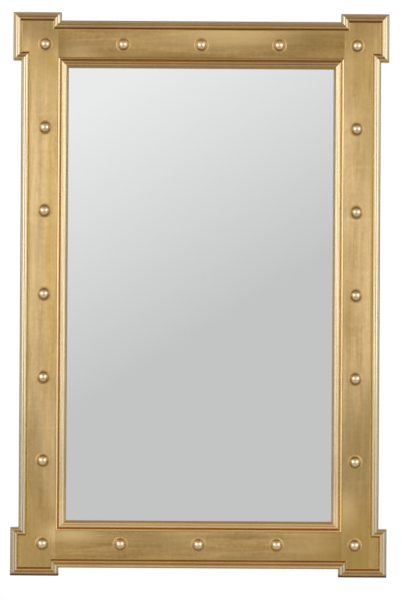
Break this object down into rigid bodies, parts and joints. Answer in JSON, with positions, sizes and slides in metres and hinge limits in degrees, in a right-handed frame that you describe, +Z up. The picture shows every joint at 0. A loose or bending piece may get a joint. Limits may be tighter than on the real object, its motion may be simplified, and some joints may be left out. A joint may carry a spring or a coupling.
{
  "type": "wall mirror",
  "caption": "Rectangular wall mirror in a flat gilded frame with square eared corners, mitred double-bead mouldings and a border of dome studs, hung by hinged wire rings.",
  "frame": {"origin": "on the wall plane, which the bumpers touch, behind the middle of the pane", "axes": "+Z up, +X to the right seen from the front, +Y into the wall, so the mirror faces -Y"},
  "size_m": [0.61, 0.028, 0.914],
  "materials": {
    "gold_leaf_frieze": "satin",
    "gold_leaf_moulding": "satin",
    "gilt_brass": "polished",
    "silvered_glass": "polished",
    "hardboard": "matte",
    "dowel_wood": "matte",
    "foam": "matte",
    "glazing_tape": "matte",
    "zinc_steel": "satin",
    "bumper_rubber": "matte"
  },
  "bodies": {
    "frame": {"backing_board": "hardboard", "backing_screws": "zinc_steel", "corner_dowels": "dowel_wood", "dome_studs": "gilt_brass", "ear_bottom_left_cap": "gold_leaf_moulding", "ear_bottom_left_rail_return": "gold_leaf_moulding", "ear_bottom_left_side": "gold_leaf_moulding", "ear_bottom_left_stile_return": "gold_leaf_moulding", "ear_bottom_right_cap": "gold_leaf_moulding", "ear_bottom_right_rail_return": "gold_leaf_moulding", "ear_bottom_right_side": "gold_leaf_moulding", "ear_bottom_right_stile_return": "gold_leaf_moulding", "ear_top_left_cap": "gold_leaf_moulding", "ear_top_left_rail_return": "gold_leaf_moulding", "ear_top_left_side": "gold_leaf_moulding", "ear_top_left_stile_return": "gold_leaf_moulding", "ear_top_right_cap": "gold_leaf_moulding", "ear_top_right_rail_return": "gold_leaf_moulding", "ear_top_right_side": "gold_leaf_moulding", "ear_top_right_stile_return": "gold_leaf_moulding", "foam_strips": "foam", "frame_rail_bottom": "gold_leaf_frieze", "frame_rail_top": "gold_leaf_frieze", "frame_stile_left": "gold_leaf_frieze", "frame_stile_right": "gold_leaf_frieze", "glazing_tape": "glazing_tape", "hanger_screws": "zinc_steel", "hanger_strap_left": "zinc_steel", "hanger_strap_right": "zinc_steel", "inner_moulding_bottom": "gold_leaf_moulding", "inner_moulding_left": "gold_leaf_moulding", "inner_moulding_right": "gold_leaf_moulding", "inner_moulding_top": "gold_leaf_moulding", "mirror_pane": "silvered_glass", "outer_moulding_bottom": "gold_leaf_moulding", "outer_moulding_left": "gold_leaf_moulding", "outer_moulding_right": "gold_leaf_moulding", "outer_moulding_top": "gold_leaf_moulding", "wall_bumpers": "bumper_rubber"},
    "ring_left": {"hanger_ring_left": "zinc_steel"},
    "ring_right": {"hanger_ring_right": "zinc_steel"}
  },
  "joints": [
    {"name": "ring_left_swing", "type": "hinge", "parent": "frame", "child": "ring_left", "pos_m": [-0.2595, -0.00372, 0.22145], "axis": [-1, 0, 0], "range_deg": [-3, 175]},
    {"name": "ring_right_swing", "type": "hinge", "parent": "frame", "child": "ring_right", "pos_m": [0.2595, -0.00372, 0.22145], "axis": [-1, 0, 0], "range_deg": [-3, 175]}
  ]
}
